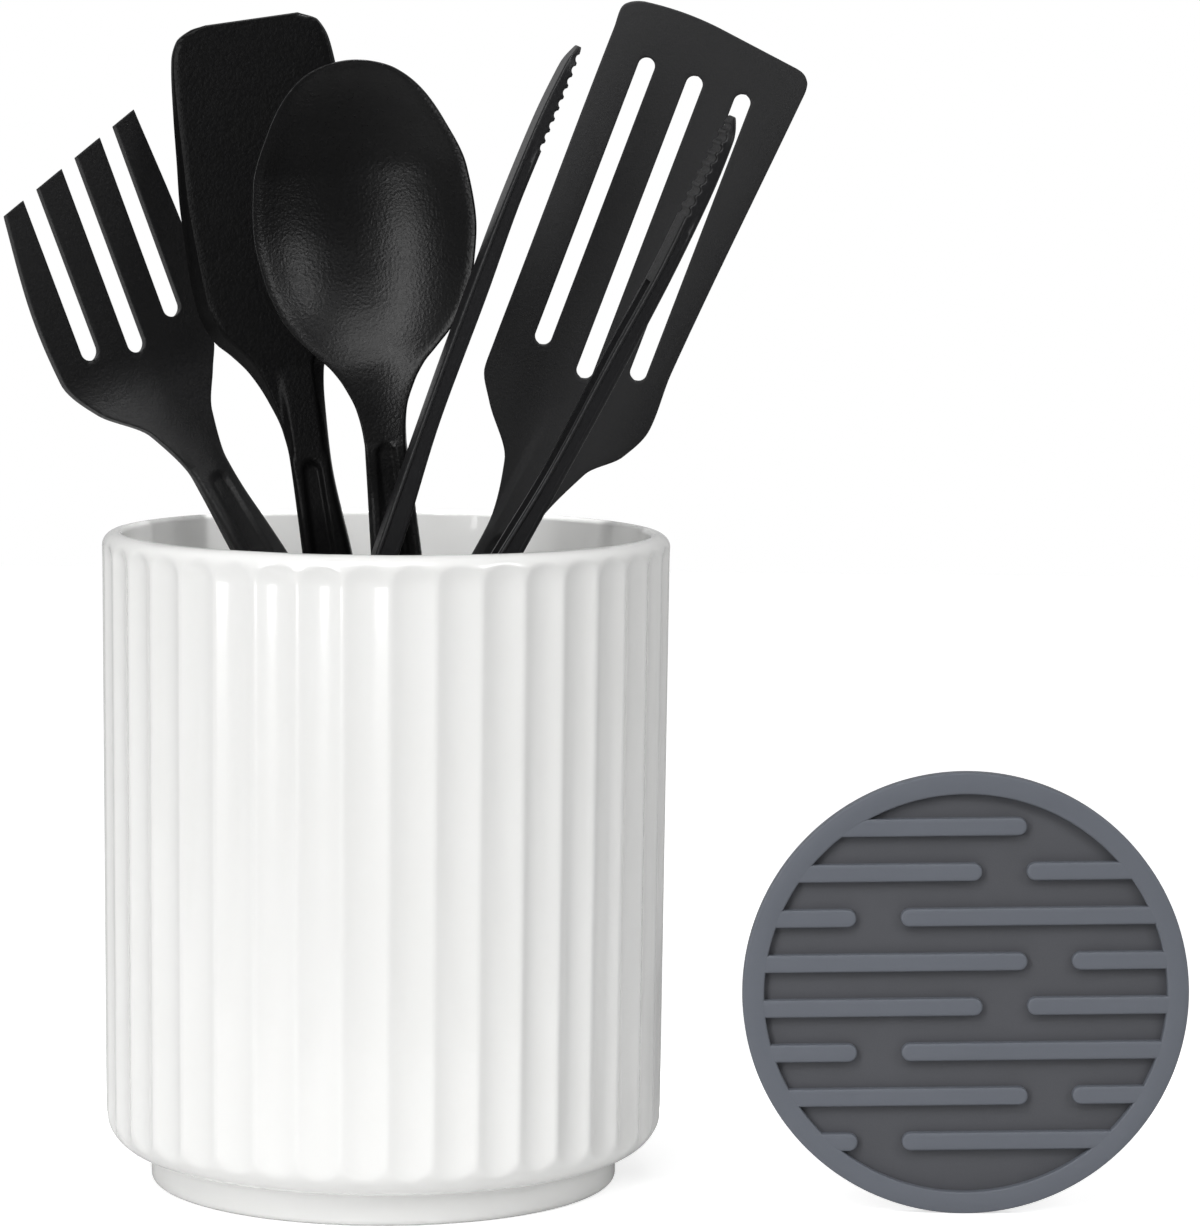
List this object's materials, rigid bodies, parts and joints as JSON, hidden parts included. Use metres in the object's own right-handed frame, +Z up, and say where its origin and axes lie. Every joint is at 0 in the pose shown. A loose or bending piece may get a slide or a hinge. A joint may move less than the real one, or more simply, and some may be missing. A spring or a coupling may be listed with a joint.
{
  "type": "utensil crock",
  "caption": "Fluted white ceramic utensil crock holding black nylon spoon, turners, fork and tongs, with a round grey silicone mat.",
  "frame": {"origin": "middle of the crock's foot, on the table", "axes": "+Z up, -Y towards the viewer of the picture, +X to the viewer's right"},
  "size_m": [0.3193, 0.154, 0.3212],
  "materials": {
    "glazed_ceramic": "gloss white glaze",
    "spoon_nylon": "fine matte black nylon",
    "turner_nylon": "fine matte black nylon",
    "slotted_nylon": "fine matte black nylon",
    "fork_nylon": "fine matte black nylon",
    "tongs_nylon": "satin black nylon",
    "pin_steel": "brushed steel",
    "spring_steel": "drawn spring wire",
    "mat_silicone": "matte grey silicone"
  },
  "bodies": {
    "crock": {"crock": "glazed_ceramic"},
    "spoon": {"spoon": "spoon_nylon"},
    "solid_turner": {"solid_turner": "turner_nylon"},
    "slotted_turner": {"slotted_turner": "slotted_nylon"},
    "fork": {"fork": "fork_nylon"},
    "tongs": {"tongs_left_arm": "tongs_nylon", "tongs_pin": "pin_steel", "tongs_spring": "spring_steel"},
    "tongs_right_arm": {"tongs_right_arm": "tongs_nylon"},
    "mat": {"mat": "mat_silicone"}
  },
  "joints": [
    {"name": "spoon_lift", "type": "slide", "parent": "crock", "child": "spoon", "axis": [-0.0993, 0, 0.9951], "range_m": [0, 0.17]},
    {"name": "solid_turner_lift", "type": "slide", "parent": "crock", "child": "solid_turner", "axis": [-0.1495, 0, 0.9888], "range_m": [0, 0.172]},
    {"name": "slotted_turner_lift", "type": "slide", "parent": "crock", "child": "slotted_turner", "axis": [0.454, 0, 0.891], "range_m": [0, 0.19]},
    {"name": "fork_lift", "type": "slide", "parent": "crock", "child": "fork", "axis": [-0.4848, 0, 0.8746], "range_m": [0, 0.195]},
    {"name": "tongs_lift", "type": "slide", "parent": "crock", "child": "tongs", "axis": [0.402, 0, 0.9157], "range_m": [0, 0.186]},
    {"name": "tongs_squeeze", "type": "hinge", "parent": "tongs", "child": "tongs_right_arm", "pos_m": [-0.04859, -0.025, 0.02618], "axis": [0.0798, -0.9962, -0.035], "range_deg": [0, 7.94]},
    {"name": "mat_lift", "type": "slide", "parent": "crock", "child": "mat", "axis": [0, 0, 1], "range_m": [0, 0.1]}
  ]
}
